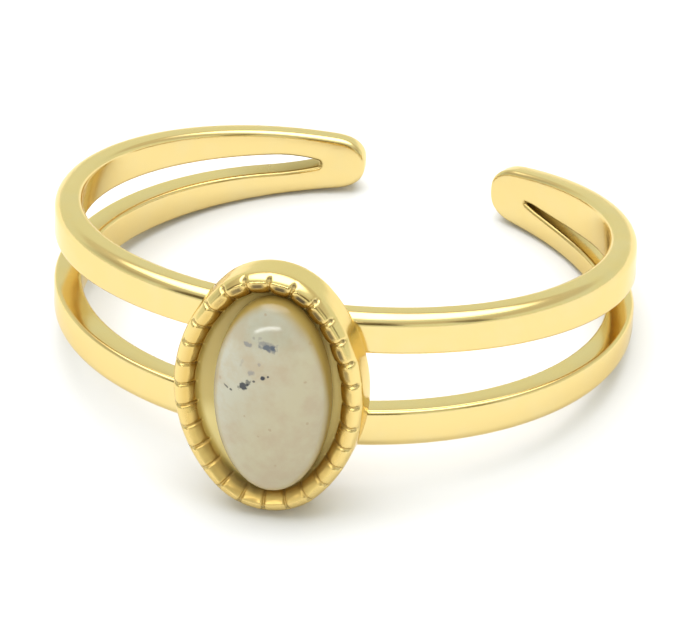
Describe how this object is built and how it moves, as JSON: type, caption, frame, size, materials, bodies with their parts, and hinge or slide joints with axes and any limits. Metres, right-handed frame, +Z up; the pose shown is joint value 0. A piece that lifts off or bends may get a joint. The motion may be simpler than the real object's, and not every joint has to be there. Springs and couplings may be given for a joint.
{
  "type": "gemstone ring",
  "caption": "Open finger ring: a split band with two rounded tips, and an oval cabochon in a cup with a milled rim.",
  "frame": {"origin": "on the surface that the ring rests on, under the middle of its box", "axes": "+X to the ring's right as the stone is seen from the front, +Y away from the stone towards the gap, +Z up"},
  "size_m": [0.0202, 0.0198, 0.0087],
  "materials": {
    "gold": "polished pale gold plate",
    "stone": "polished, milky, with small dark inclusions"
  },
  "bodies": {
    "root": {"band_and_bezel": "gold", "stone": "stone"}
  },
  "joints": []
}
